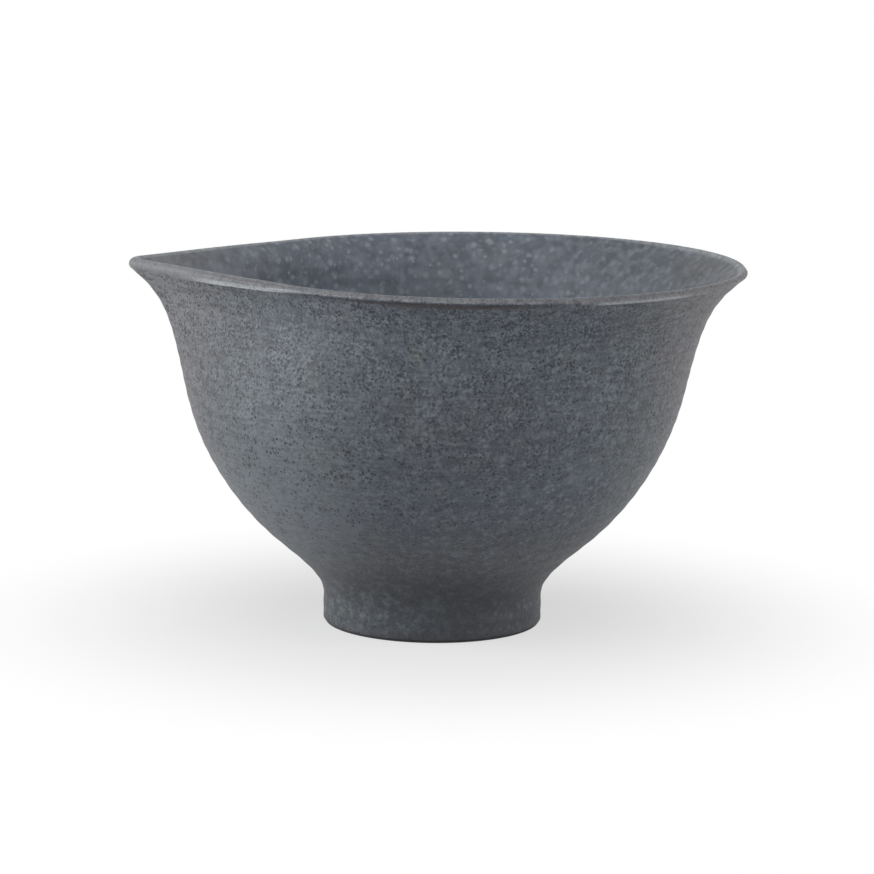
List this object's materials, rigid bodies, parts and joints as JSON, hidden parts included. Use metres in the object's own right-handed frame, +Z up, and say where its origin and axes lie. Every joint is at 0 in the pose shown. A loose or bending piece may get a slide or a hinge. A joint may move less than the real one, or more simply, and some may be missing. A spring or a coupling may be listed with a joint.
{
  "type": "pouring tea bowl",
  "caption": "Dark glazed stoneware tea bowl with a flared rim pinched into a pouring lip, standing on a low foot ring.",
  "frame": {"origin": "centre of the ring that the foot rests on", "axes": "+Z up, -X towards the pouring lip"},
  "size_m": [0.1272, 0.109, 0.0755],
  "materials": {
    "clay": "bare dark stoneware, rough",
    "outside_glaze": "satin slate grey glaze with dark pin specks",
    "inside_glaze": "smooth satin blue-grey glaze"
  },
  "bodies": {
    "root": {"bowl_body": "clay", "foot_ring": "clay", "outside_glaze": "outside_glaze", "inside_glaze": "inside_glaze", "foot_well_glaze": "inside_glaze"}
  },
  "joints": []
}
